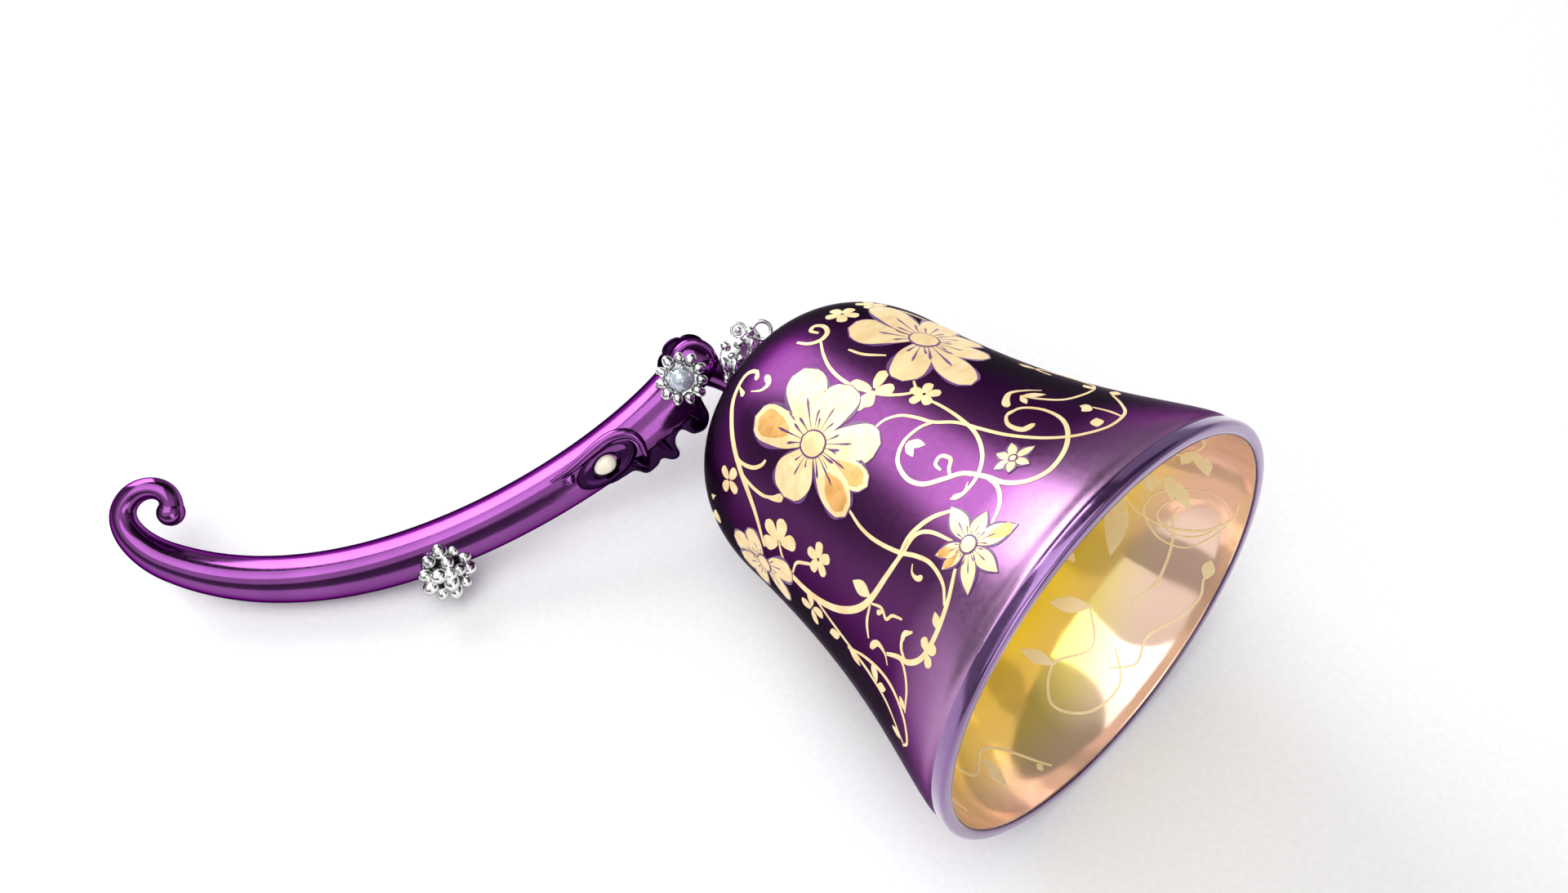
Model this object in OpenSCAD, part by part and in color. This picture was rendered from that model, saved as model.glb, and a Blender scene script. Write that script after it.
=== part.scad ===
// Porcelain table bell with a swan-neck metal handle, lying on its side.
// Row frame: +X towards the mouth, +Z up, Z = 0 is the surface it lies on.
// Bell frame: +Z from the middle of the mouth to the crown, +X the upper side.
// Handle frame: X and Y lie in the plane that the handle bends in.

/* [Bell] */
// Outer diameter of the mouth
mouth_d = 73; // [70:1:76]
// Height of the bell from the mouth to the crown
bell_h = 73.6; // [72:0.2:76]
// Outer radius at the shoulder, where the dome begins
shoulder_r = 25.6; // [25.2:0.1:26.5]
// Height of the shoulder above the mouth
shoulder_h = 54.1; // [53:0.1:56]
// Thickness of the porcelain
wall = 2.1; // [1.9:0.1:2.4]
// How far the bell's axis rises towards the mouth as it lies, in degrees
lie_tilt = 11.5; // [11:0.5:12.5]

/* [Handle] */
// Bell height at which the handle's neck starts
handle_z = 79.6; // [79:0.1:80]
// Direction in which the handle leaves the crown, in degrees
handle_turn = -116.5; // [-118:0.1:-115]
// Lean of the handle's plane back from the mouth, in degrees
handle_lean = 52.3; // [51.8:0.1:53]
// Radius of the knuckle scroll
knuckle_r = 4.6; // [4.4:0.1:4.8]
// Radius of the ball that ends the curl
tip_ball_r = 2.4; // [2.2:0.1:2.6]

/* [Ornaments] */
// Radius of one silver bead
bead_r = 1.25; // [1.1:0.05:1.3]
// Beads round the knuckle flower
flower_beads_n = 11; // [9:1:11]
// Beads round the stem cluster
cluster_beads_n = 10; // [8:1:10]

/* [Clapper] */
// Radius of the tie bolt that holds handle and bell together
bolt_r = 1.5; // [1.3:0.1:1.6]
// Distance from the yoke pin to the middle of the clapper ball
clapper_l = 26; // [25:0.5:26]
// Radius of the clapper ball
clapper_ball_r = 6.8; // [6:0.1:6.8]
// Angle between the bell's axis and the clapper where it lies on the wall
clapper_rest = 41.5; // [40:0.5:41.5]

/* [Hidden] */
$fn = 64;

purple = [0.36, 0.16, 0.46];
silver = [0.82, 0.83, 0.85];
steel = [0.62, 0.63, 0.66];
brass = [0.80, 0.62, 0.28];
cream = [0.95, 0.90, 0.78];
felt = [0.25, 0.12, 0.28];
pale_blue = [0.69, 0.77, 0.87];

mouth_r = mouth_d / 2;
lip_r = 0.7;              // rounding of the lip's two edges
bolt_gap = 0.6;           // room between the bolt and the porcelain
run_gap = 0.05;           // radial clearance of a running fit
crown_flat_r = 8;         // radius of the flat top of the crown
handle_x = -1.3;          // the handle's foot beside the bell's axis
handle_y = -0.3;

// Outline of the outside, as two curves that meet at the shoulder
flare_curve = [
    [mouth_r, lip_r],
    [mouth_r - 0.5, 9.7],
    [shoulder_r + 2.2, 19.8],
    [shoulder_r, shoulder_h]
];
dome_curve = [
    [shoulder_r, shoulder_h],
    [shoulder_r - 0.6, shoulder_h + 10],
    [crown_flat_r + 12, bell_h - 0.3],
    [crown_flat_r, bell_h]
];
flare_steps = 14;
dome_steps = 14;

// Where the bell lies: its lowest outline point touches the surface
outer_outline = concat(curve(flare_curve, flare_steps), tail(curve(dome_curve, dome_steps)));
mouth_z = max([for (p = outer_outline) p[0] * cos(lie_tilt) + p[1] * sin(lie_tilt)]);
mouth_x = 67.23;          // mouth ahead of the middle of the footprint
mouth_y = 30.71;          // mouth beside the middle of the footprint

// Heights of the stack on the bell's axis
crown_inner_z = bell_h - wall;
gasket_t = 0.6;
collar_z = bell_h + gasket_t;
collar_h = 5.4;
felt_t = 1;
washer_t = 0.8;
nut_t = 2.4;
nut_flats = 5.5;
washer_z = crown_inner_z - felt_t - washer_t;
nut_z = washer_z - nut_t;
yoke_t = 1.4;
yoke_r = 4.4;
yoke_arm_t = 1;
yoke_z = nut_z - 0.1 - yoke_t;
bolt_head_t = 1.2;
bolt_head_r = 2.6;
bolt_head_z = yoke_z - 0.1 - bolt_head_t;
pin_r = 0.8;
pin_z = bolt_head_z - 3.6;
rod_r = 0.9;
rod_eye_r = 2.2;
rod_eye_w = 2.4;
cap_r = 2.4;
cap_h = 2;

// Centrelines of the handle in its own plane, and radii along them
neck_line = [[0.2, -1], [0.3, 2], [0.6, 4.5], [1, 7]];
stem_line = [[8, 10], [32, 14], [76, 34], [83.6, 66]];
curl_line = [[83.6, 66], [84.9, 71.4], [83.6, 77.6], [79, 77.8]];
hook_line = [[79, 77.8], [74.4, 78], [71.6, 72.5], [76.2, 70.6]];
neck_radii = [3.6, 3, 2.8, 3.4];
stem_radii = [5.5, 4.2, 5.3, 3.4];
curl_radii = [3.4, 3, 2.3, 2.1];
hook_radii = [2.1, 1.9, 1.9, 2.1];
knuckle_at = [2.2, 10.6];
sweep_sides = 16;

// Ornaments: places in the handle's plane, negative heights face the viewer
flower_at = [5.6, 10.9, -5.2];
flower_ring_r = 3.7;
pearl_r = 2.1;
cluster_at = [57.1, 25.8, -2.3];
cluster_turn = [-25, 14, 0];
cluster_ring_r = 4.2;
setting_t = 0.9;
cabochon_at = [25.4, 13.1, -4.9];
cabochon_turn = 18;
cabochon_size = [2.2, 1.7];
bezel_w = 0.6;
ornament_w = -2;          // where the ornament's plate stands beside the handle's plane
ornament_t = 1.2;

// One point of a curve with four control values, t from 0 to 1
function curve_at(p, t) =
    pow(1 - t, 3) * p[0] + 3 * t * pow(1 - t, 2) * p[1]
    + 3 * t * t * (1 - t) * p[2] + t * t * t * p[3];

// The curve as a list of n + 1 values
function curve(p, n) = [for (i = [0 : n]) curve_at(p, i / n)];

// Unit direction of the curve at t
function heading(p, t) =
    let (d = 3 * pow(1 - t, 2) * (p[1] - p[0]) + 6 * t * (1 - t) * (p[2] - p[1])
        + 3 * t * t * (p[3] - p[2]))
    d / norm(d);

// The curve moved inwards by d, for a wall that stands on its left
function inset_curve(p, n, d) = [
    for (i = [0 : n])
        let (h = heading(p, i / n))
        curve_at(p, i / n) + d * [-h[1], h[0]]
];

// Part of a circle as a list of points
function arc(centre, r, from, to, n) = [
    for (i = [0 : n])
        let (a = from + (to - from) * i / n)
        centre + r * [cos(a), sin(a)]
];

// Every item of a list in the opposite order
function backwards(list) = [for (i = [len(list) - 1 : -1 : 0]) list[i]];

// A list without its first item
function tail(list) = [for (i = [1 : len(list) - 1]) list[i]];

// Outline of an ellipse
function oval(size, n) = [
    for (i = [0 : n - 1])
        let (a = 360 * i / n)
        [size[0] * cos(a), size[1] * sin(a)]
];

// Bell frame to row frame
module lying() {
    translate([mouth_x, mouth_y, mouth_z]) rotate([0, -(90 + lie_tilt), 0]) children();
}

// Handle frame to row frame
module on_handle() {
    lying() translate([handle_x, handle_y, handle_z])
        rotate([handle_lean, 0, handle_turn]) children();
}

// Round bar along a planar curve, its radius taken from a second curve
module bar(line, radii, steps) {
    rings = [
        for (i = [0 : steps])
            let (
                t = i / steps,
                c = curve_at(line, t),
                h = heading(line, t),
                r = curve_at(radii, t)
            )
            for (k = [0 : sweep_sides - 1])
                let (a = 360 * k / sweep_sides)
                [c[0] - h[1] * r * cos(a), c[1] + h[0] * r * cos(a), r * sin(a)]
    ];
    sides = [
        for (i = [0 : steps - 1])
            for (k = [0 : sweep_sides - 1])
                let (next = (k + 1) % sweep_sides, low = i * sweep_sides, high = low + sweep_sides)
                [low + k, high + k, high + next, low + next]
    ];
    start_cap = [for (k = [0 : sweep_sides - 1]) k];
    end_cap = [for (k = [sweep_sides - 1 : -1 : 0]) steps * sweep_sides + k];
    polyhedron(points = rings, faces = concat(sides, [start_cap], [end_cap]), convexity = 6);
}

// Ring of n beads round the local Z axis
module bead_ring(n, ring_r, r) {
    for (i = [0 : n - 1])
        rotate([0, 0, 360 * i / n]) translate([ring_r, 0, 0]) sphere(r = r);
}

module bell_shell() {
    inside = concat(
        inset_curve(flare_curve, flare_steps, wall),
        tail(inset_curve(dome_curve, dome_steps, wall))
    );
    outer_lip = arc([mouth_r - lip_r, lip_r], lip_r, -90, 0, 4);
    inner_lip = arc([mouth_r - wall + lip_r, lip_r], lip_r, 180, 270, 4);
    hole = bolt_r + bolt_gap;
    color(purple) lying() rotate_extrude()
        polygon(concat(
            outer_lip, tail(outer_outline), [[hole, bell_h], [hole, crown_inner_z]],
            backwards(tail(inside)), inner_lip
        ));
}

// Flat ring standing on height z of the bell's axis
module washer(z, t, r, hole_r) {
    lying() translate([0, 0, z]) difference() {
        cylinder(r = r, h = t);
        translate([0, 0, -1]) cylinder(r = hole_r, h = t + 2);
    }
}

module crown_gasket() {
    color(felt) washer(bell_h, gasket_t, crown_flat_r - 0.4, bolt_r + bolt_gap);
}

module crown_collar() {
    color(purple) lying() translate([0, 0, collar_z]) rotate_extrude()
        polygon([
            [bolt_r, 0], [7.4, 0], [7.9, 0.7], [7.4, 1.4], [5.2, 2.2],
            [4.4, 3.6], [4.2, collar_h], [bolt_r, collar_h]
        ]);
}

module handle_neck() {
    color(purple) on_handle() bar(neck_line, neck_radii, 8);
}

module handle_knuckle() {
    color(purple) on_handle() translate([knuckle_at[0], knuckle_at[1], 0]) sphere(r = knuckle_r);
}

module handle_stem() {
    color(purple) on_handle() bar(stem_line, stem_radii, 26);
}

module handle_curl() {
    color(purple) on_handle() {
        bar(curl_line, curl_radii, 10);
        bar(hook_line, hook_radii, 10);
    }
}

module curl_ball() {
    color(purple) on_handle() translate(concat(hook_line[3], [0])) sphere(r = tip_ball_r);
}

module scalloped_flange() {
    lobes = 7;
    color(purple) on_handle() translate([knuckle_at[0] + 0.9, knuckle_at[1] + 0.9, -1.6])
        linear_extrude(1.2)
            for (i = [0 : lobes - 1])
                rotate(360 * i / lobes) translate([3.4, 0]) circle(r = 1.9);
}

module leaf_spurs() {
    t = 5;
    color(purple) on_handle() translate([0, 0, -t / 2]) linear_extrude(t)
        polygon([
            [5.8, 11], [5.8, 8], [8.2, 3.4], [11.2, 2.6], [12.3, 5.3], [15.6, 5.6],
            [17.2, 3.6], [19.5, 5.4], [22.8, 6.4], [24, 8.2], [28.5, 10.8], [22, 13]
        ]);
}

module cabochon_bezel() {
    outer = cabochon_size + [bezel_w, bezel_w];
    color(purple) on_handle() translate(cabochon_at) rotate(cabochon_turn) mirror([0, 0, 1])
        translate([0, 0, -1]) linear_extrude(1.9) difference() {
            polygon(oval(outer, 40));
            polygon(oval(cabochon_size, 40));
        }
}

module cabochon() {
    steps = 6;
    dome_h = 1.5;
    color(cream) on_handle() translate(cabochon_at) rotate(cabochon_turn) mirror([0, 0, 1])
        for (i = [0 : steps - 1])
            translate([0, 0, dome_h * sin(90 * i / steps) - 1])
                linear_extrude(dome_h * (sin(90 * (i + 1) / steps) - sin(90 * i / steps)))
                    polygon(oval(cabochon_size * cos(82 * i / steps), 32));
}

// Frame of the knuckle flower, +Z out of the handle towards its face
module at_flower() {
    on_handle() translate(flower_at) mirror([0, 0, 1]) children();
}

// Frame of the stem cluster, +Z out of the handle towards its face
module at_cluster() {
    on_handle() translate(cluster_at) rotate(cluster_turn) mirror([0, 0, 1]) children();
}

module flower_setting() {
    color(silver) at_flower() cylinder(r = flower_ring_r, h = setting_t);
}

module flower_beads() {
    color(silver) at_flower() translate([0, 0, setting_t + bead_r * 0.6])
        bead_ring(flower_beads_n, flower_ring_r, bead_r - 0.15);
}

module flower_pearl() {
    color(pale_blue) at_flower() translate([0, 0, setting_t + pearl_r * 0.7]) sphere(r = pearl_r);
}

module cluster_setting() {
    color(silver) at_cluster() cylinder(r = cluster_ring_r, h = setting_t);
}

module cluster_beads() {
    top_beads_n = 3;
    top_ring_r = bead_r * 1.4;
    color(silver) at_cluster() {
        translate([0, 0, setting_t + bead_r * 0.6])
            bead_ring(cluster_beads_n, cluster_ring_r, bead_r);
        translate([0, 0, setting_t + bead_r * 1.5])
            bead_ring(top_beads_n, top_ring_r, bead_r);
    }
}

module cluster_stone() {
    color(silver) at_cluster() translate([0, 0, setting_t + bead_r * 3]) sphere(r = bead_r);
}

module ornament_base() {
    color(silver) on_handle() translate([0, 0, ornament_w - ornament_t]) linear_extrude(ornament_t)
        polygon([
            [2, 3.6], [1, 6.4], [-2.6, 8.4], [-7, 8], [-9.6, 5.6], [-8.6, 3.2], [-4, 2.6]
        ]);
}

module ornament_beads() {
    // Each bead: its place in the handle's plane and its radius
    beads = [
        [-7.9, 5.8, 0.9], [-5.3, 6, 1.1], [-6.9, 7.6, 0.9], [-3.3, 7.8, 0.8], [-0.6, 6.2, 1],
        [-1.6, 4.6, 1], [-4.8, 3.4, 0.7], [-3.2, 4.4, 0.7], [1.1, 4.4, 0.7]
    ];
    color(silver) on_handle()
        for (b = beads)
            translate([b[0], b[1], ornament_w - ornament_t - 0.5 * b[2]]) sphere(r = b[2]);
}

// Wire ring lying flat
module wire_ring(r, wire_r) {
    rotate_extrude() translate([r, 0]) circle(r = wire_r);
}

module ornament_rings() {
    color(silver) on_handle() {
        translate([-9.2, 4.2, ornament_w - ornament_t]) wire_ring(1.5, 0.4);
        translate([-6.9, 7.6, ornament_w - ornament_t]) wire_ring(1.2, 0.3);
    }
}

module tie_bolt() {
    shank_z = bolt_head_z + bolt_head_t;
    color(steel) lying() {
        translate([0, 0, shank_z]) cylinder(r = bolt_r, h = collar_z + collar_h - shank_z);
        translate([0, 0, bolt_head_z]) cylinder(r = bolt_head_r, h = bolt_head_t);
    }
}

module felt_washer() {
    color(felt) washer(crown_inner_z - felt_t, felt_t, 6, bolt_r + 0.2);
}

module steel_washer() {
    color(steel) washer(washer_z, washer_t, 5, bolt_r + 0.1);
}

module hanger_nut() {
    color(steel) lying() translate([0, 0, nut_z]) difference() {
        cylinder(r = nut_flats / sqrt(3), h = nut_t, $fn = 6);
        translate([0, 0, -1]) cylinder(r = bolt_r, h = nut_t + 2);
    }
}

module swivel_yoke() {
    arm_w = 4;
    arm_bottom = pin_z - 1.8;
    color(brass) lying() difference() {
        union() {
            translate([0, 0, yoke_z]) cylinder(r = yoke_r, h = yoke_t);
            for (side = [-1, 1])
                translate([-arm_w / 2, side * (yoke_r - yoke_arm_t / 2) - yoke_arm_t / 2, arm_bottom])
                    cube([arm_w, yoke_arm_t, yoke_z + yoke_t / 2 - arm_bottom]);
        }
        translate([0, 0, yoke_z - 1]) cylinder(r = bolt_r + run_gap, h = yoke_t + 2);
        translate([0, 0, pin_z]) rotate([90, 0, 0]) cylinder(r = pin_r, h = 4 * yoke_r, center = true);
    }
}

module yoke_pin() {
    color(steel) lying() translate([0, 0, pin_z]) rotate([90, 0, 0])
        cylinder(r = pin_r, h = 2 * yoke_r + 0.8, center = true);
}

// Frame of the clapper: origin on the yoke pin, +Z along the rod to the ball
module at_clapper() {
    lying() translate([0, 0, pin_z]) rotate([0, 180 + clapper_rest, 0]) children();
}

module clapper_rod() {
    rod_l = clapper_l + clapper_ball_r + cap_h - rod_eye_r;
    color(brass) at_clapper() difference() {
        union() {
            rotate([90, 0, 0]) cylinder(r = rod_eye_r, h = rod_eye_w, center = true);
            translate([0, 0, rod_eye_r - 0.5]) cylinder(r = rod_r, h = rod_l);
        }
        rotate([90, 0, 0]) cylinder(r = pin_r + run_gap, h = rod_eye_w + 2, center = true);
    }
}

module clapper_ball() {
    color(brass) at_clapper() translate([0, 0, clapper_l]) difference() {
        sphere(r = clapper_ball_r);
        translate([0, 0, -2 * clapper_ball_r]) cylinder(r = rod_r, h = 4 * clapper_ball_r);
    }
}

module clapper_cap() {
    color(brass) at_clapper() translate([0, 0, clapper_l + clapper_ball_r]) difference() {
        cylinder(r = cap_r, h = cap_h);
        translate([0, 0, -1]) cylinder(r = rod_r, h = cap_h + 2);
    }
}

bell_shell();
crown_gasket();
crown_collar();
handle_neck();
handle_knuckle();
scalloped_flange();
leaf_spurs();
handle_stem();
handle_curl();
curl_ball();
cabochon_bezel();
cabochon();
flower_setting();
flower_beads();
flower_pearl();
cluster_setting();
cluster_beads();
cluster_stone();
ornament_base();
ornament_beads();
ornament_rings();
tie_bolt();
felt_washer();
steel_washer();
hanger_nut();
swivel_yoke();
yoke_pin();
clapper_rod();
clapper_ball();
clapper_cap();
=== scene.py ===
"""Looks of the porcelain bell: lustre glaze, gilding, plated handle and silver jewellery.

Sizes are in millimetres until a piece is built, in the same three frames as the CAD part:
  row frame     +X towards the mouth, +Z up, Z = 0 is the surface it lies on
  bell frame    +Z from the middle of the mouth to the crown, +X the upper side
  handle frame  X and Y lie in the plane that the handle bends in, -Z towards the viewer
A place on the bell is (angle round the axis in degrees, height above the mouth).
"""

import math

import bpy
from mathutils import Matrix, Quaternion, Vector


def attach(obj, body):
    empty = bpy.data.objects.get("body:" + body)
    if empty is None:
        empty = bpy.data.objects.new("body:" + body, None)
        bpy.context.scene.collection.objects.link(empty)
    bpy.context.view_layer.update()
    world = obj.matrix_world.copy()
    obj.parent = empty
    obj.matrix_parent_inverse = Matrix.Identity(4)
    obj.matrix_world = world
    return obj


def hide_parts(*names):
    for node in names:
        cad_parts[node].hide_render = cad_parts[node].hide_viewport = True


MM = 0.001

# ---------------------------------------------------------------- sizes shared with the CAD part

LIE_TILT = 11.5
MOUTH_AT = (67.23, 30.71, 36.188)
HANDLE_FOOT = (-1.3, -0.3, 79.6)
HANDLE_TURN = -116.5
HANDLE_LEAN = 52.3
BELL_H = 73.6
WALL = 2.1
LIP_R = 0.7
HOLE_R = 2.1
FLARE = [(36.5, 0.7), (36, 9.7), (27.8, 19.8), (25.6, 54.1)]
DOME = [(25.6, 54.1), (25, 64.1), (20, 73.3), (8, 73.6)]

STEM = [(8, 10), (32, 14), (76, 34), (83.6, 66)]
CURL = [(83.6, 66), (84.9, 71.4), (83.6, 77.6), (79, 77.8)]
HOOK = [(79, 77.8), (74.4, 78), (71.6, 72.5), (76.2, 70.6)]
NECK = [(0.2, -1), (0.3, 2), (0.6, 4.5), (1, 7)]
STEM_RADII = [5.5, 4.2, 5.3, 3.4]
CURL_RADII = [3.4, 3, 2.3, 2.1]
HOOK_RADII = [2.1, 1.9, 1.9, 2.1]
NECK_RADII = [3.6, 3, 2.8, 3.4]
KNUCKLE_AT = (2.2, 10.6)
KNUCKLE_R = 4.6
TIP_BALL_R = 2.4
FLOWER_AT = (5.6, 10.9, -5.2)
CLUSTER_AT = (57.1, 25.8, -2.3)
CABOCHON_AT = (25.4, 13.1, -4.9)
CABOCHON_TURN = 18
SETTING_T = 0.9
ORNAMENT_W = -2
ORNAMENT_T = 1.2

CAMERA_AT = (92.68, -56.41, 226.74)
CAMERA_AZIMUTH = 47.583
CAMERA_ELEVATION = 59.522
CAMERA_ROLL = -1.89
CAMERA_LENS = 32


def turned(degrees, axis):
    """A turn round one axis."""
    return Matrix.Rotation(math.radians(degrees), 4, axis)


LYING = Matrix.Translation(MOUTH_AT) @ turned(-90 - LIE_TILT, "Y")
ON_HANDLE = (
    LYING
    @ Matrix.Translation(HANDLE_FOOT)
    @ turned(HANDLE_TURN, "Z")
    @ turned(HANDLE_LEAN, "X")
)
# Frames of the two bead flowers, +Z out of the handle towards the viewer
FACING = Matrix.Diagonal((1, 1, -1, 1))
AT_FLOWER = ON_HANDLE @ Matrix.Translation(FLOWER_AT) @ FACING
AT_CLUSTER = (
    ON_HANDLE
    @ Matrix.Translation(CLUSTER_AT)
    @ turned(14, "Y")
    @ turned(-25, "X")
    @ FACING
)

# ---------------------------------------------------------------- curves


def curve_at(p, t):
    """One value of a cubic curve with four control values."""
    return (
        p[0] * (1 - t) ** 3
        + p[1] * (3 * t * (1 - t) ** 2)
        + p[2] * (3 * t * t * (1 - t))
        + p[3] * t**3
    )


def curve(points, steps):
    """The curve through the plane as steps + 1 points."""
    vectors = [Vector(p) for p in points]
    return [curve_at(vectors, i / steps) for i in range(steps + 1)]


def smooth(points, per_span=8):
    """A smooth line through every point, as a Catmull-Rom spline."""
    v = [Vector(p) for p in points]
    v = [v[0] * 2 - v[1]] + v + [v[-1] * 2 - v[-2]]
    line = []
    for i in range(1, len(v) - 2):
        for k in range(per_span):
            t = k / per_span
            before, here, after, beyond = v[i - 1 : i + 3]
            slope = (after - before) * t
            bend = (before * 2 - here * 5 + after * 4 - beyond) * t**2
            twist = (here * 3 - before - after * 3 + beyond) * t**3
            line.append(0.5 * (here * 2 + slope + bend + twist))
    return line + [v[-2]]


def arc(centre, r, start, end, steps):
    """Part of a circle in the plane, angles in degrees."""
    angles = [math.radians(start + (end - start) * i / steps) for i in range(steps + 1)]
    return [Vector((centre[0] + r * math.cos(a), centre[1] + r * math.sin(a))) for a in angles]


def polar(r, angle, z=0):
    """A point at a radius and an angle in radians round the Z axis."""
    return Vector((r * math.cos(angle), r * math.sin(angle), z))


def in_plane(points, w=0):
    """Points of the handle's plane as points in space, w above it."""
    return [Vector((p[0], p[1], w)) for p in points]


# ---------------------------------------------------------------- mesh shapes
# Each shape is a list of points and a list of faces.


def skin(rings, closed_ends=True):
    """Faces between rings of points, and a cap on each end."""
    n = len(rings[0])
    points = [p for ring in rings for p in ring]
    faces = []
    for i in range(len(rings) - 1):
        for k in range(n):
            a, b = i * n + k, i * n + (k + 1) % n
            faces.append((a, b, b + n, a + n))
    if closed_ends:
        faces.append(tuple(range(n - 1, -1, -1)))
        faces.append(tuple(range(len(points) - n, len(points))))
    return points, faces


def tube(line, radius, sides=16, section=None, side_on=Vector((0, 0, 1))):
    """A bar along a line in space. radius and section are functions of the share of the line
    passed, and section of the angle too; angle 0 lies in the line's plane, square to it."""
    rings = []
    for i, p in enumerate(line):
        share = i / (len(line) - 1)
        ahead = (line[min(i + 1, len(line) - 1)] - line[max(i - 1, 0)]).normalized()
        across = side_on.cross(ahead).normalized()
        up = ahead.cross(across)
        ring = []
        for k in range(sides):
            a = 2 * math.pi * k / sides
            r = radius(share) * (section(a, share) if section else 1)
            ring.append(p + across * (r * math.cos(a)) + up * (r * math.sin(a)))
        rings.append(ring)
    return skin(rings)


def revolve(outline, segments, from_degrees=0, degrees=360):
    """A closed outline of (radius, height) turned round the Z axis."""
    whole = degrees == 360
    stations = segments if whole else segments + 1
    rings = []
    for s in range(stations):
        a = math.radians(from_degrees + degrees * s / segments)
        rings.append([polar(r, a, z) for r, z in outline])
    if whole:
        rings.append(rings[0])
    points, faces = skin(rings, closed_ends=not whole)
    if whole:
        n = len(outline)
        last = len(points) - n
        faces = [tuple(i - last if i >= last else i for i in f) for f in faces]
        points = points[:last]
    return points, faces


def bead(centre, size, spin=0, rows=10, sides=18):
    """A cast bead: an egg with semi-axes size, turned by spin degrees round Z."""
    turn = turned(spin, "Z")
    rings = []
    for i in range(rows + 1):
        tilt = math.pi * (0.02 + 0.96 * i / rows)
        ring = []
        for k in range(sides):
            a = -2 * math.pi * k / sides
            egg = 1 + 0.12 * math.cos(a)
            x = size[0] * math.sin(tilt) * math.cos(a) * egg
            y = size[1] * math.sin(tilt) * math.sin(a)
            p = Vector((x, y, size[2] * math.cos(tilt)))
            ring.append(Vector(centre) + turn @ p)
        rings.append(ring)
    return skin(rings)


def build(name, frame_at, shapes, materials, body="bell", stands_for=(), sharp=50):
    """One named piece from shapes. A shape may name the number of its material as a third item."""
    points, faces, numbers = [], [], []
    for shape in shapes:
        first = len(points)
        points += [(frame_at @ Vector(p)) * MM for p in shape[0]]
        faces += [tuple(i + first for i in f) for f in shape[1]]
        numbers += [shape[2] if len(shape) > 2 else 0] * len(shape[1])
    mesh = bpy.data.meshes.new(name)
    mesh.from_pydata(points, [], faces)
    for material in materials:
        mesh.materials.append(material)
    mesh.polygons.foreach_set("material_index", numbers)
    mesh.polygons.foreach_set("use_smooth", [True] * len(faces))
    mesh.set_sharp_from_angle(angle=math.radians(sharp))
    if frame_at.determinant() < 0:
        mesh.flip_normals()
    mesh.validate()
    piece = bpy.data.objects.new(name, mesh)
    bpy.context.scene.collection.objects.link(piece)
    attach(piece, body)
    if stands_for:
        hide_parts(*stands_for)
    return piece


# ---------------------------------------------------------------- materials


def set_stops(ramp, stops):
    """Gives a colour ramp node its stops, each a position and a colour."""
    elements = ramp.color_ramp.elements
    while len(elements) < len(stops):
        elements.new(0.5)
    for element, (position, colour) in zip(elements, stops):
        element.position = position
        element.color = (*colour, 1)


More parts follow.
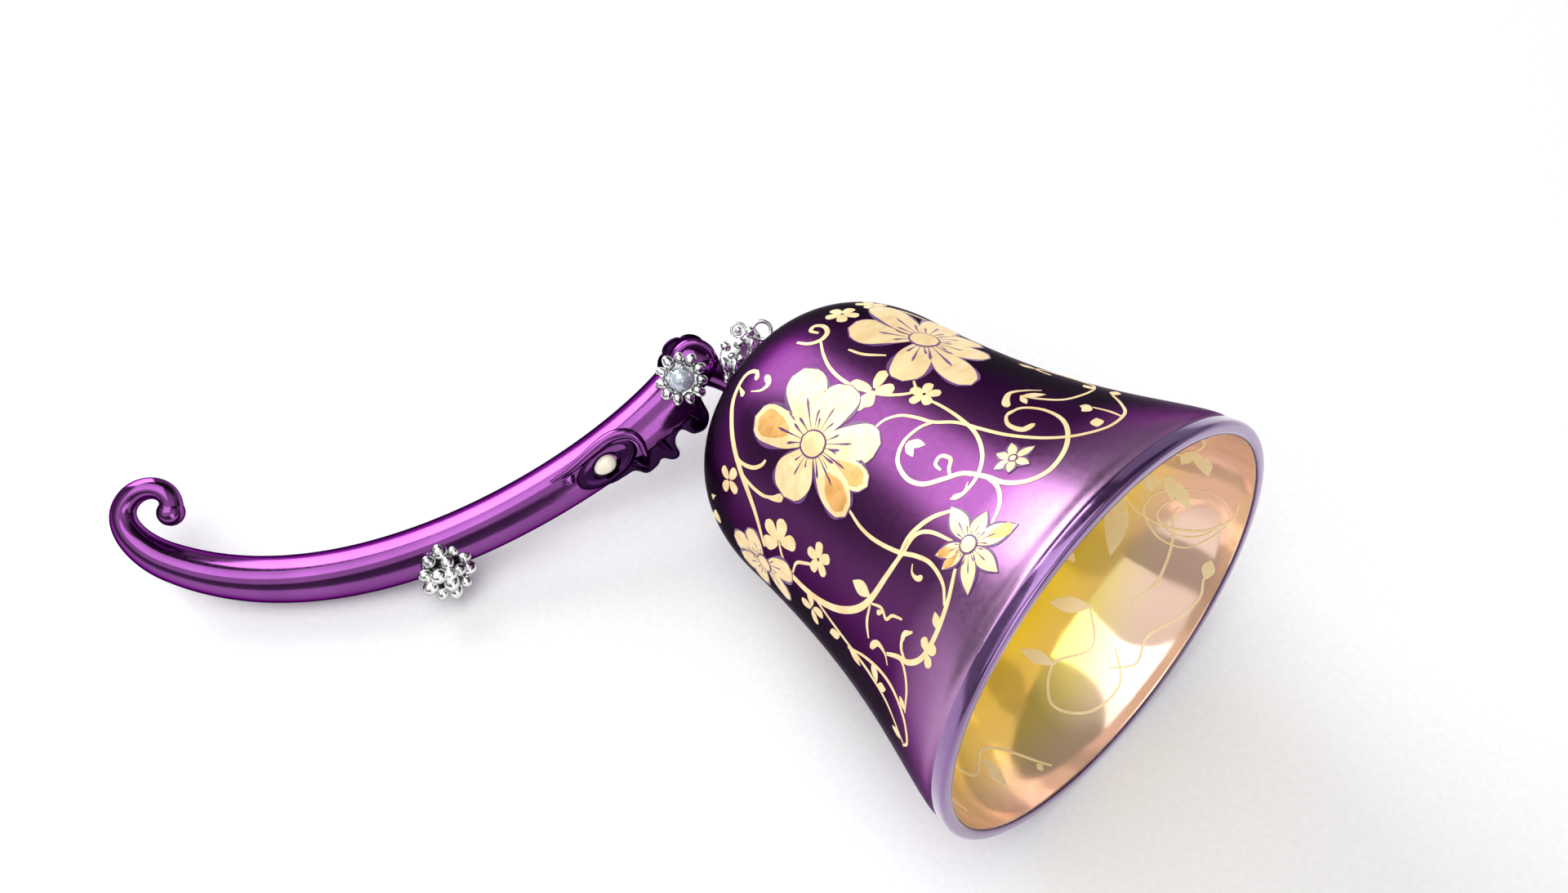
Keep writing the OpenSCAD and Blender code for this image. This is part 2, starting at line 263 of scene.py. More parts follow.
class Paint:
    """A node material under construction: one Principled shader and the textures that feed it."""

    def __init__(self, name):
        self.material = bpy.data.materials.new(name)
        self.material.use_nodes = True
        self.nodes = self.material.node_tree.nodes
        self.links = self.material.node_tree.links
        self.shader = self.nodes["Principled BSDF"]
        self.place = self.nodes.new("ShaderNodeTexCoord").outputs["Object"]
        self.bump = None

    def set(self, **values):
        for key, value in values.items():
            self.shader.inputs[key.replace("_", " ")].default_value = value

    def noise(self, scale, detail=3, stretch=(1, 1, 1), distortion=0):
        mapping = self.nodes.new("ShaderNodeMapping")
        mapping.inputs["Scale"].default_value = stretch
        texture = self.nodes.new("ShaderNodeTexNoise")
        texture.inputs["Scale"].default_value = scale
        texture.inputs["Detail"].default_value = detail
        texture.inputs["Distortion"].default_value = distortion
        self.links.new(self.place, mapping.inputs["Vector"])
        self.links.new(mapping.outputs["Vector"], texture.inputs["Vector"])
        return texture.outputs["Fac"]

    def along_axis(self):
        """Share of the way from the bell's mouth (0) to its crown (1)."""
        axis = LYING.to_3x3() @ Vector((0, 0, 1))
        offset = self.nodes.new("ShaderNodeVectorMath")
        offset.operation = "SUBTRACT"
        offset.inputs[1].default_value = Vector(MOUTH_AT) * MM
        dot = self.nodes.new("ShaderNodeVectorMath")
        dot.operation = "DOT_PRODUCT"
        dot.inputs[1].default_value = axis / (BELL_H * MM)
        self.links.new(self.place, offset.inputs[0])
        self.links.new(offset.outputs["Vector"], dot.inputs[0])
        return dot.outputs["Value"]

    def distance(self):
        """Distance from the middle of the footprint, in metres."""
        node = self.nodes.new("ShaderNodeVectorMath")
        node.operation = "LENGTH"
        self.links.new(self.place, node.inputs[0])
        return node.outputs["Value"]

    def ramp(self, value, stops):
        """A colour from a value; stops are (position, colour)."""
        node = self.nodes.new("ShaderNodeValToRGB")
        set_stops(node, stops)
        self.links.new(value, node.inputs["Fac"])
        return node.outputs["Color"]

    def blended(self, share, first, second, how="MIX"):
        node = self.nodes.new("ShaderNodeMix")
        node.data_type = "RGBA"
        node.blend_type = how
        colours = [s for s in node.inputs if s.type == "RGBA"]
        for socket, value in zip(colours, (first, second)):
            if isinstance(value, tuple):
                socket.default_value = (*value, 1)
            else:
                self.links.new(value, socket)
        if isinstance(share, float):
            node.inputs["Factor"].default_value = share
        else:
            self.links.new(share, node.inputs["Factor"])
        return [s for s in node.outputs if s.type == "RGBA"][0]

    def ranged(self, value, low, high, start=0.3, end=0.7):
        node = self.nodes.new("ShaderNodeMapRange")
        node.inputs["From Min"].default_value = start
        node.inputs["From Max"].default_value = end
        node.inputs["To Min"].default_value = low
        node.inputs["To Max"].default_value = high
        self.links.new(value, node.inputs["Value"])
        return node.outputs["Result"]

    def colour(self, output):
        self.links.new(output, self.shader.inputs["Base Color"])

    def rough(self, value, low, high):
        self.links.new(self.ranged(value, low, high), self.shader.inputs["Roughness"])

    def bumped(self, height, strength, distance_mm):
        node = self.nodes.new("ShaderNodeBump")
        node.inputs["Strength"].default_value = strength
        node.inputs["Distance"].default_value = distance_mm * MM
        self.links.new(height, node.inputs["Height"])
        if self.bump:
            self.links.new(self.bump, node.inputs["Normal"])
        self.bump = node.outputs["Normal"]
        self.links.new(self.bump, self.shader.inputs["Normal"])


def speckled(name, dark, light, rough, grain, bump, grain_stretch=(1, 1, 1), **values):
    """A finish whose colour and gloss drift over centimetres, with a fine grain on top."""
    paint = Paint(name)
    paint.set(**values)
    drift = paint.noise(55, 4)
    fine = paint.noise(grain, 3, grain_stretch)
    broad = paint.ramp(drift, [(0.35, dark), (0.65, light)])
    paint.colour(paint.blended(0.35, broad, paint.ramp(fine, [(0.3, dark), (0.7, light)])))
    paint.rough(fine, *rough)
    paint.bumped(fine, 0.4, bump)
    return paint


def lustre_glaze():
    """Metallic lustre over dark glaze, with a painted reflection: paler and pinker towards the
    rim, where the left softbox's reflection falls.
    """
    paint = Paint("lustre_glaze")
    paint.set(Metallic=1.0, Specular_Tint=(0.08, 0.02, 0.1, 1), Coat_Weight=0.05,
              Coat_Roughness=0.22, Coat_IOR=1.35)
    # Painted reflection: the first stops make the wall pale pink near the mouth, in place of the
    # left softbox's reflection; slightly darker towards the crown.
    stops = [(0.0, (0.58, 0.34, 0.56)), (0.09, (0.36, 0.17, 0.36)), (0.2, (0.13, 0.04, 0.135)),
             (0.5, (0.105, 0.03, 0.11)), (0.95, (0.09, 0.025, 0.098))]
    height = paint.ramp(paint.along_axis(), stops)
    drift = paint.noise(40, 3)
    cloudy = paint.ramp(drift, [(0.3, (0.84, 0.82, 0.86)), (0.7, (1.0, 1.0, 1.0))])
    paint.colour(paint.blended(1.0, height, cloudy, "MULTIPLY"))
    grain = paint.noise(1100, 3)
    paint.rough(grain, 0.27, 0.34)
    paint.bumped(grain, 0.3, 0.004)
    return paint.material


def lip_glaze():
    """Lavender glaze on the rounded lip, glossier than the wall."""
    paint = speckled(
        "lip_glaze", (0.18, 0.08, 0.25), (0.25, 0.12, 0.33), (0.13, 0.2), 700, 0.006,
        Metallic=0.9, Coat_Weight=1.0, Coat_Roughness=0.04,
    )
    return paint.material


def mirror_gold():
    """Gilding inside the bell: rose near the mouth and on the far side, deep yellow within."""
    paint = Paint("mirror_gold")
    paint.set(Metallic=0.55, Specular_IOR_Level=0.8)
    across = paint.nodes.new("ShaderNodeSeparateXYZ")
    paint.links.new(paint.place, across.inputs["Vector"])
    far_side = paint.ranged(across.outputs["Y"], 0.0, -0.14, 0.034, 0.062)
    depth = paint.nodes.new("ShaderNodeMath")
    paint.links.new(paint.along_axis(), depth.inputs[0])
    paint.links.new(far_side, depth.inputs[1])
    stops = [(0.02, (0.93, 0.66, 0.54)), (0.07, (0.95, 0.72, 0.50)), (0.15, (1.0, 0.80, 0.24)),
             (0.3, (1.0, 0.78, 0.08))]
    paint.colour(paint.ramp(depth.outputs["Value"], stops))
    paint.rough(paint.noise(120, 3), 0.05, 0.13)
    paint.bumped(paint.noise(60, 2, distortion=0.6), 0.5, 0.14)
    paint.bumped(paint.noise(500, 2), 0.15, 0.01)
    return paint.material


def gilt(name, dark, light):
    """Hand-brushed gold: matt, with fine strokes."""
    paint = Paint(name)
    paint.set(Metallic=0.35, Specular_IOR_Level=0.4)
    strokes = paint.noise(700, 4, (1, 0.25, 1), 0.4)
    worn = paint.noise(160, 3)
    base = paint.ramp(strokes, [(0.3, dark), (0.62, light)])
    paint.colour(paint.blended(0.3, base, paint.ramp(worn, [(0.3, dark), (0.7, light)])))
    paint.rough(worn, 0.34, 0.5)
    paint.bumped(strokes, 0.5, 0.02)
    return paint.material


def plated(name, colour, rough):
    """Mirror-like electroplated metal with casting waves, smears and fine dust."""
    paint = Paint(name)
    paint.set(Metallic=1.0, Specular_Tint=(0.08, 0.02, 0.1, 1))
    smeared = tuple(0.78 * c for c in colour)
    paint.colour(paint.ramp(paint.noise(60, 4), [(0.35, smeared), (0.65, colour)]))
    dust = paint.noise(1500, 3)
    paint.rough(dust, *rough)
    paint.bumped(dust, 0.4, 0.003)
    paint.bumped(paint.noise(90, 2), 0.3, 0.08)
    return paint.material


def silver_metal():
    """Polished silver with grey tarnish in patches."""
    paint = Paint("silver")
    paint.set(Metallic=1.0, Specular_Tint=(0.4, 0.4, 0.42, 1))
    tarnish = paint.noise(420, 4)
    paint.colour(paint.ramp(tarnish, [(0.32, (0.5, 0.5, 0.51)), (0.55, (0.86, 0.86, 0.85))]))
    paint.rough(tarnish, 0.2, 0.1)
    paint.bumped(paint.noise(900, 2), 0.3, 0.02)
    return paint.material


def felt_cloth():
    """Dark pressed felt."""
    paint = Paint("felt")
    paint.set(Roughness=0.95, Sheen_Weight=0.4)
    fibres = paint.noise(2600, 5, (1, 1, 0.4))
    paint.colour(paint.ramp(fibres, [(0.3, (0.03, 0.01, 0.04)), (0.7, (0.12, 0.05, 0.14))]))
    paint.bumped(fibres, 0.8, 0.1)
    return paint.material


# ---------------------------------------------------------------- the bell


def with_lip_ring(r, z):
    """The outside radius, with the shallow channel that sets off the lip."""
    return r - 0.16 * math.exp(-(((z - 3.1) / 0.8) ** 2))


def inset(points, steps, distance):
    """The outline curve moved inwards by the wall."""
    line = curve(points, steps)
    moved_line = []
    for i, p in enumerate(line):
        d = (line[min(i + 1, steps)] - line[max(i - 1, 0)]).normalized()
        moved_line.append(Vector((p.x - d.y * distance, p.y + d.x * distance)))
    return moved_line


FLARE_STEPS = 70
DOME_STEPS = 44
OUTSIDE = curve(FLARE, FLARE_STEPS)[:-1] + curve(DOME, DOME_STEPS)
INSIDE = inset(FLARE, FLARE_STEPS, WALL)[:-1] + inset(DOME, DOME_STEPS, WALL)
SEGMENTS = 240


def radius_and_slope(outline, z):
    """Radius of an outline at a height, and how fast it changes."""
    for a, b in zip(outline, outline[1:]):
        if z <= b.y or b is outline[-1]:
            slope = (b.x - a.x) / (b.y - a.y)
            return a.x + slope * (z - a.y), slope


def on_bell(outline, angle, z, lift):
    """A place on the bell, lifted off the outline away from the porcelain."""
    r, slope = radius_and_slope(outline, z)
    out = 1 if outline is OUTSIDE else -1
    if outline is OUTSIDE:
        r = with_lip_ring(r, z)
    away = out * lift / math.hypot(1, slope)
    a = math.radians(angle)
    return polar(r + away, a, z - slope * away)


def scales(outline, z):
    """Millimetres of surface in one degree, and in one millimetre of height."""
    r, slope = radius_and_slope(outline, z)
    return math.radians(1) * r, math.hypot(1, slope)


def band(path, half_width, outline=OUTSIDE, lift=0.06, across=2):
    """A thin raised band of gilding along a path of places. half_width is a function of the
    share of the path passed. The band is a closed body that reaches just into the glaze."""
    sunk = -0.05
    rings = []
    for i, (angle, z) in enumerate(path):
        before, after = path[max(i - 1, 0)], path[min(i + 1, len(path) - 1)]
        per_degree, per_height = scales(outline, z)
        step = ((after[0] - before[0]) * per_degree, (after[1] - before[1]) * per_height)
        ahead = Vector(step).normalized()
        half = max(half_width(i / (len(path) - 1)), 0.04)
        sides = [2 * k / across - 1 for k in range(across + 1)]
        section = [(s, lift * (0.9 + 0.1 * (1 - s * s))) for s in sides]
        ring = []
        for s, height in section + [(1, sunk), (-1, sunk)]:
            place_angle = angle - ahead.y * s * half / per_degree
            place_z = z + ahead.x * s * half / per_height
            ring.append(on_bell(outline, place_angle, place_z, height))
        rings.append(ring)
    return skin(rings)


def near(place, x, y, outline=OUTSIDE):
    """The place that lies x round the bell and y up its side from a place, in millimetres."""
    per_degree, per_height = scales(outline, place[1])
    return Vector((place[0] + x / per_degree, place[1] + y / per_height))


def line_from(place, direction, start, end, steps, outline=OUTSIDE, bend=0):
    """A path from a place, at distances start to end; bend turns it as it goes, in degrees."""
    path = []
    for i in range(steps + 1):
        d = start + (end - start) * i / steps
        a = math.radians(direction + bend * i / steps)
        path.append(near(place, d * math.cos(a), d * math.sin(a), outline))
    return path


def round_petal(width):
    """Half-width of a petal with a narrow foot and a broad, slightly wavy end."""

    def half(s):
        foot = 0.24 + 0.76 * math.sin(math.pi / 2 * min(1, s / 0.62))
        end = math.sqrt(max(0.0, 1 - (max(0, s - 0.62) / 0.38) ** 2.4))
        return width / 2 * foot * end * (1 + 0.05 * math.sin(9 * s + width * 3))

    return half


def pointed_petal(width):
    """Half-width of a leaf or a petal that comes to a point."""

    def half(s):
        foot = 0.18 + 0.82 * math.sin(math.pi / 2 * min(1, s / 0.5))
        end = 1 - (max(0, s - 0.5) / 0.5) ** 1.7
        return width / 2 * foot * end

    return half


def drop(width):
    """Half-width of a teardrop: a thin tail that swells to a round end."""

    def half(s):
        end = math.sqrt(max(0.0, 1 - max(0, (s - 0.75) / 0.25) ** 2))
        return width / 2 * (0.12 + 0.88 * s**1.5) * end

    return half


def vine(width, tail=0.35):
    """Half-width of a vine that thins towards both ends."""

    def half(s):
        return width / 2 * (tail + (1 - tail) * math.sin(math.pi * (0.06 + 0.88 * s)) ** 0.6)

    return half


def disc(place, rx, ry, lift):
    """A round dab of gilding."""
    path = line_from(place, 90, -ry, ry, 12)

    def half(s):
        return rx * math.sqrt(max(0.0, 1 - (2 * s - 1) ** 2))

    return band(path, half, lift=lift, across=6)


# Vines as painted, each a width in millimetres and the places that it passes
VINES = [
    (1.0, [(-19.5, 62.7), (-21.5, 64.5), (-26, 65), (-34, 64), (-41, 61.5), (-47, 58.7),
           (-54, 54.6), (-59.5, 51.5), (-64.5, 49.3), (-72, 47)]),
    (0.65, [(-48.5, 58.4), (-49.7, 55.9), (-48.3, 53.4), (-45.5, 52), (-43, 51.6)]),
    (0.6, [(-50.3, 57.4), (-53.3, 54.6), (-54.4, 52), (-54, 49.3), (-51.5, 47.2)]),
    (1.15, [(-78, 46.5), (-74.5, 44), (-72.8, 41), (-72.5, 37), (-70.5, 32.8), (-66, 28.4),
            (-59.5, 24.6), (-53, 22.7), (-45, 21.8), (-37.8, 21.2)]),
    (0.75, [(-40, 21.3), (-34, 21.7), (-29.5, 21.2), (-25, 20), (-21, 18)]),
    (0.6, [(-38, 21), (-31.7, 20.9), (-28.5, 19), (-27, 15)]),
    (0.65, [(-38, 33.4), (-39.7, 30), (-39.7, 26.5), (-37.8, 22), (-35.5, 19), (-34.4, 16),
            (-36, 12.5), (-39.5, 10.4)]),
    (0.85, [(-31.5, 12), (-38.5, 10.2), (-46, 9.4), (-52.8, 9.9), (-57, 11.8), (-59, 14.3),
            (-61.5, 16.4)]),
    (0.6, [(-14.8, 38), (-10, 37.6), (-6, 36), (-4, 33.5), (-2.8, 30.9), (0.6, 27.8),
           (2, 24), (3.7, 19.6), (7.2, 14.6), (11.7, 11.2), (17.8, 9.3), (25, 9.9),
           (30.5, 12.4), (36, 15.5)]),
    (0.75, [(-2.8, 30.9), (-6.7, 32), (-12.8, 32.3), (-18.3, 30.9), (-20.8, 27.8),
            (-19.7, 24.9), (-15.6, 22.6), (-11.7, 20.6), (-9.7, 17.4), (-8.9, 14.3),
            (-6, 11.5), (-1, 10.1), (5.6, 10.9), (11.7, 13.3), (15.6, 16.2), (16.7, 19.6),
            (14.4, 22.3), (10, 22.8)]),
    (0.6, [(2.6, 37), (3.3, 32.8), (2.4, 28.4), (0, 24), (-5, 20.3), (-11, 18.4),
           (-16.7, 18.4), (-19, 19.5)]),
    (0.6, [(-9.7, 17.4), (-10.6, 14.6), (-14, 12.4), (-19, 11.3)]),
    (0.6, [(-14, 22), (-12.6, 23), (-10, 24), (-10.6, 25.6), (-13.3, 25.4), (-14, 24)]),
    (0.8, [(-2.4, 60.5), (-0.8, 58.5), (2.8, 57.4), (7, 57.8), (9.2, 59.5), (7.8, 61),
           (4.8, 60.6), (5.2, 59)]),
    (0.6, [(2.8, 57.4), (-1.7, 54.6), (-4.8, 51.5), (-5.9, 47.8), (-4.8, 44), (-2, 40.3),
           (3.3, 37.6), (7, 39.3)]),
    (0.55, [(5.2, 52.3), (6.7, 49.6), (11, 46.8)]),
    (0.55, [(19.4, 24.6), (21.4, 21.5), (25, 19), (31.7, 18.4), (38, 19)]),
    (0.45, [(23.3, 9.6), (24.4, 12), (24.4, 14.6)]),
    (0.6, [(-71.7, 34), (-73.3, 29), (-73.7, 24), (-73.6, 19), (-74.8, 14), (-79.7, 9.3)]),
    (0.6, [(-75, 25), (-70.6, 21), (-68, 16.5), (-68.3, 12.8), (-71.7, 9.6), (-77, 8.3),
           (-80.6, 9.3)]),
    (0.5, [(-69.4, 9.8), (-63.3, 10.6), (-59.4, 12.4), (-58.6, 14.3)]),
    (0.55, [(-71, 39.8), (-66, 39.3), (-63, 37.4), (-61, 35.8)]),
    (0.55, [(-71.3, 40), (-69.4, 42.4), (-64.4, 44)]),
    (0.55, [(-55, 22.5), (-60, 22), (-63.6, 20.8)]),
    (0.5, [(-54.4, 22.4), (-52.8, 20.3), (-54, 18.7), (-51.7, 17.8), (-50.2, 15.9)]),
    (0.6, [(-57.8, 12.4), (-56.3, 14), (-53.3, 14.5), (-50.3, 13.3)]),
    (0.7, [(36, 58), (42, 56), (47, 52), (50, 47)]),
    (0.6, [(38, 19), (44, 21), (48, 25), (47, 29), (43, 30), (41, 27)]),
]

# Commas and swirls that swell to a round end: width, then the places from tail to head
COMMAS = [
    (1.5, [(-27, 61.2), (-24.4, 59.4), (-21, 59), (-19, 60.6)]),
    (1.3, [(-19.6, 64), (-19.8, 62.8), (-22.5, 61.7)]),
    (1.3, [(-28, 65), (-29, 63.5), (-30, 62.2)]),
    (1.8, [(-54, 49.6), (-52.5, 47.6), (-49.5, 45.6)]),
    (1.5, [(-64, 15.6), (-62, 16.8), (-62, 18.8), (-65.5, 20)]),
    (1.2, [(-37.5, 18.7), (-39.3, 18), (-39.5, 16.8), (-38.2, 16)]),
    (1.5, [(16, 21.5), (11, 23), (7, 21.4), (7, 18.8), (10.5, 18.2)]),
    (1.2, [(-13, 19), (-16, 18.4), (-18.8, 19.4)]),
    (1.6, [(25.8, 23.4), (23, 25), (19, 26.2), (14.8, 25.2), (12.8, 24)]),
    (1.2, [(-50.3, 13.3), (-52, 14.5), (-54.5, 14.4)]),
    (3.2, [(-88, 63), (-85, 61.5), (-80.5, 59.5)]),
    (1.3, [(-71.5, 60.5), (-73.5, 61.3), (-75, 61.8)]),
    (1.1, [(-52.5, 20.3), (-53.6, 20), (-55, 20.8)]),
]

# Single leaves: place at the foot, direction in degrees, length and width
LEAVES = [
    ((-53, 22.8), 95, 4.6, 2.2), ((-12.3, 32), -115, 3, 1.2), ((-12.3, 32), -70, 3.2, 1.5),
    ((24.4, 14.6), 110, 1.8, 1.5), ((24.4, 14.6), 170, 2, 1.6), ((16, 10.4), 40, 2.8, 1.8),
    ((19.4, 24.6), -120, 2.6, 1), ((19.4, 24.6), -45, 3.6, 1.3), ((-73.5, 17), 35, 3.4, 1.8),
    ((-73.5, 17), -60, 2.6, 1.4), ((-74, 27), 130, 3.8, 1.7), ((-74.5, 25), -100, 3.6, 1.5),
    ((-69, 9.8), 60, 2.2, 1.1), ((-45, 9.4), 50, 2.6, 1.4), ((-79, 9.6), 100, 3, 1.4),
    ((43, 30), 100, 3, 1.6), ((38, 19), 60, 3, 1.6), ((36, 15.5), 20, 4, 1.6),
]

# Blossoms: place, number of petals, petal length, petal width, first direction, share of a turn
BLOSSOMS = [
    ((-57.8, 35), 5, 2.7, 1.7, 90, 1), ((-59, 57.4), 4, 2.6, 1.7, 70, 1),
    ((-77, 34.5), 4, 3, 1.7, 110, 1), ((4.3, 36), 5, 2.5, 1.6, 95, 1),
    ((19.5, 60), 5, 2.8, 1.8, 80, 1), ((-51, 9.6), 3, 2.1, 1.5, -130, 0.5),
    ((-65, 43.8), 4, 4.2, 2.4, -55, 0.5), ((-3.3, 43), 3, 4.2, 1.9, 20, 0.45),
    ((-3.3, 43), 2, 3.2, 2.2, 200, 0.3), ((36, 60), 5, 2.8, 1.8, 60, 1),
]

# Large flowers: place, half-sizes of the eye, petal outline, and the petals as
# (direction, length, width, 1 where the middle is brushed orange)
FLOWERS = [
    ((-28.8, 45.2), (1.9, 2.2), round_petal, [
        (99, 12.4, 7, 1), (49, 13.4, 7.4, 0), (7, 10.6, 7.2, 0), (-61, 11.4, 7.4, 0),
        (-91, 12.6, 4.6, 1), (-114, 13, 5.8, 1), (178, 9.2, 8.4, 0)]),
    ((27.4, 45.9), (2.1, 2.3), round_petal, [
        (122, 12, 7.6, 0), (207, 11.6, 6.8, 0), (249, 15, 5.8, 0), (290, 10.5, 6, 0),
        (335, 10, 5.8, 0), (74, 13.5, 7.2, 0), (20, 12, 6.6, 0)]),
    ((-25.4, 12.4), (1.1, 1.2), pointed_petal, [
        (66, 7, 3.2, 0), (10, 5, 2.8, 0), (-40, 7.2, 3.2, 1), (-95, 6.7, 2.7, 0),
        (-137, 6.9, 2.7, 0), (163, 5, 2.3, 1), (136, 5.4, 2.3, 1)]),
    ((-2.2, 16), (0.45, 0.45), pointed_petal, [
        (157, 2.9, 1.5, 0), (98, 2.8, 1.5, 0), (46, 3.1, 1.5, 0), (-20, 3.3, 1.4, 0),
        (-85, 2.8, 1.4, 0), (-150, 2.5, 1.4, 0)]),
    ((-80, 47), (1.3, 1.5), round_petal, [
        (95, 8, 5.6, 0), (45, 6, 4, 0), (-62, 8, 4.4, 0), (-115, 7, 4, 0),
        (160, 7, 4, 0), (128, 8, 4, 0)]),
]

# Gilding seen inside the mouth: width and places, then leaves as on the outside
INNER_VINES = [
    (0.5, [(106, 10.6), (109.5, 11.1), (118.3, 9.8), (127.4, 9.2), (133.8, 9.3), (142, 11)]),
    (0.3, [(98.6, 4.2), (104, 2.9), (110, 4), (117.5, 6.9), (119.5, 10), (118, 13), (112, 15.6),
           (104, 14.6), (99, 11), (97, 7), (98.6, 4.2)]),
    (0.3, [(101, 5), (106, 4.2), (111, 5.2), (115, 8), (115.5, 11), (112, 13.4), (106, 12.6),
           (102, 10), (100, 7.4), (101, 5)]),
    (0.45, [(97, 2.2), (103.3, 2.6), (111, 6.1), (114.6, 12.1), (113, 17), (108, 20)]),
    (0.45, [(121.8, 2.6), (125, 3), (130.4, 2.2), (138, 3.4), (148, 6), (156, 5), (162, 8)]),
    (0.5, [(150, 16), (160, 12), (172, 15), (182, 11), (176, 6), (164, 5), (156, 9)]),
    (0.5, [(196, 4), (205, 10), (213, 12), (222, 9), (230, 12)]),
    (0.5, [(238, 4), (246, 8), (252, 15), (262, 18), (270, 12), (266, 6)]),
    (0.5, [(60, 4), (68, 8), (76, 8.3), (84, 12), (80, 18), (72, 20)]),
]
INNER_LEAVES = [
    ((95.5, 13.6), -42, 7.4, 2.6), ((95.5, 13.6), -20, 5.6, 1.8), ((108, 20.4), -14, 12.5, 4),
    ((100, 14), 95, 4.6, 2.4), ((104, 15.4), 150, 5, 2.2), ((124.5, 2.8), 172, 3.6, 2.2),
    ((215, 10.6), -100, 5.4, 2.6), ((80, 10), -25, 6.4, 2.2), ((80, 10), 20, 5, 2),
    ((82, 8.2), -10, 4, 1.8), ((199.4, 4.3), 90, 1.4, 1.2), ((150, 16), 60, 7, 2.8),
    ((252, 15), 100, 7, 2.6), ((172, 15), 70, 6, 2.4), ((140, 22), 110, 8, 3),
]


def shifted(places, turn):
    """The same places, turned round the bell."""
    return [(a + turn, z) for a, z in places]


def petal(foot, direction, length, width, outline_of, lift):
    """A petal or a leaf that grows from its foot; outline_of gives its half-width."""
    path = line_from(foot, direction, 0.1 * length, length, 14)
    return band(path, outline_of(width), lift=lift, across=6)


def flower(place, eye, outline_of, petals):
    """Gilt petals with their eye, the orange brushing on some, and the painted lines: each petal
    lies on a slightly larger dark one, which parts it from the petal below."""
    gilded, brushed, lines = [], [], []
    for i, (direction, length, width, warm) in enumerate(petals):
        lift = 0.06 + 0.017 * i
        gilded.append(petal(place, direction, length, 0.88 * width, outline_of, lift))
        border = (length + 0.2, 0.88 * width + 0.8)
        lines.append(petal(place, direction, *border, outline_of, lift - 0.018))
        if warm:
            path = line_from(place, direction, 0.42 * length, 0.93 * length, 10)
            brushed.append(band(path, round_petal(width * 0.62), lift=lift + 0.01, across=6))
        for side, reach in ((-14, 0.42), (0, 0.6), (14, 0.4)):
            if length > 4:
                start = 1.02 * max(eye)
                path = line_from(place, direction + side, start, reach * length, 6, bend=side / 3)
                lines.append(band(path, drop(0.05 * length), lift=lift + 0.02))
    top = 0.08 + 0.017 * len(petals)
    lines.append(disc(place, eye[0] + 0.3, eye[1] + 0.3, top))
    gilded.append(disc(place, *eye, top + 0.03))
    return gilded, brushed, lines


def blossom(place, n, length, width, first, turn_share):
    """A small flower or a fan of petals."""
    steps = n if turn_share == 1 else n - 1
    petals = []
    for i in range(n):
        direction = first + 360 * turn_share * i / steps
        petals.append(petal(place, direction, length, width, round_petal, 0.05 + 0.006 * i))
    return petals


def bell_outline():
    """Pieces of the shell's closed outline, each with the number of its material."""
    glaze, lip, painted_groove_shade, gold = range(4)
    outer = [Vector((with_lip_ring(p.x, p.y), p.y)) for p in OUTSIDE]
    inner_lip = (FLARE[0][0] - WALL + LIP_R, LIP_R)
    return [
        (glaze, [Vector((HOLE_R, BELL_H))] + outer[::-1][: -4]),
        (lip, outer[:5][::-1] + arc((FLARE[0][0] - LIP_R, LIP_R), LIP_R, 0, -90, 8)[1:]),
        (lip, arc(inner_lip, LIP_R, -90, -128, 4)),
        # A near-black band where the lip meets the gilding: painted shade of a crease, on an
        # outline that bulges slightly here.
        (painted_groove_shade, arc(inner_lip, LIP_R + 0.12, -130, -150, 3)),
        (gold, arc(inner_lip, LIP_R, -152, -180, 4) + INSIDE[1:]),
        (gold, [Vector((HOLE_R, BELL_H - WALL))]),
    ]


def make_shell(materials):
    """The glazed shell, turned from its outline. Each face takes the material of the piece of
    outline that it starts from."""
    outline, numbers = [], []
    for number, points in bell_outline():
        outline += points
        numbers += [number] * len(points)
    points, faces = revolve([(p.x, p.y) for p in outline], SEGMENTS)
    n = len(outline)
    number_of = {}
    for face in faces:
        places = {face[0] % n, face[1] % n}
        first = n - 1 if places == {0, n - 1} else min(places)
        number_of[frozenset(face)] = numbers[first]
    shell = build(
        "porcelain_shell", LYING, [(points, faces)], materials,
        stands_for=["bell_shell"],
    )
    for polygon in shell.data.polygons:
        polygon.material_index = number_of[frozenset(polygon.vertices)]
    return shell


def make_gilding(gold, orange, line_paint, inner_gold):
    """All painted decoration: the seen half, and the same pattern again on the far half."""
    vines, leaves, petals, brushed, lines = [], [], [], [], []
    for turn in (-1.7, 170.3):
        for i, (width, places) in enumerate(VINES):
            path = smooth(shifted(places, turn), 7)
            vines.append(band(path, vine(width), lift=0.05 + 0.004 * (i % 5)))
        for width, places in COMMAS:
            path = smooth(shifted(places, turn), 6)
            vines.append(band(path, drop(width), lift=0.07, across=4))
        for (angle, z), direction, length, width in LEAVES:
            leaves.append(petal((angle + turn, z), direction, length, width, pointed_petal, 0.06))
        for (angle, z), *rest in BLOSSOMS:
            leaves += blossom((angle + turn, z), *rest)
        for (angle, z), *rest in FLOWERS:
            parts = flower((angle + turn, z), *rest)
            petals += parts[0]
            brushed += parts[1]
            lines += parts[2]
    inner = [
        band(smooth(places, 7), vine(width), outline=INSIDE, lift=0.08)
        for width, places in INNER_VINES
    ]
    for place, direction, length, width in INNER_LEAVES:
        path = line_from(place, direction, 0, length, 12, outline=INSIDE)
        inner.append(band(path, pointed_petal(width), outline=INSIDE, lift=0.08, across=4))
    build("gilt_vines", LYING, vines, [gold])
    build("gilt_leaves", LYING, leaves, [gold])
    build("gilt_petals", LYING, petals, [gold])
    build("brushed_petals", LYING, brushed, [orange])
    build("stamen_lines", LYING, lines, [line_paint])
    build("inner_gilding", LYING, inner, [inner_gold])


# ---------------------------------------------------------------- the handle


RIDGE_POWER = 1.7


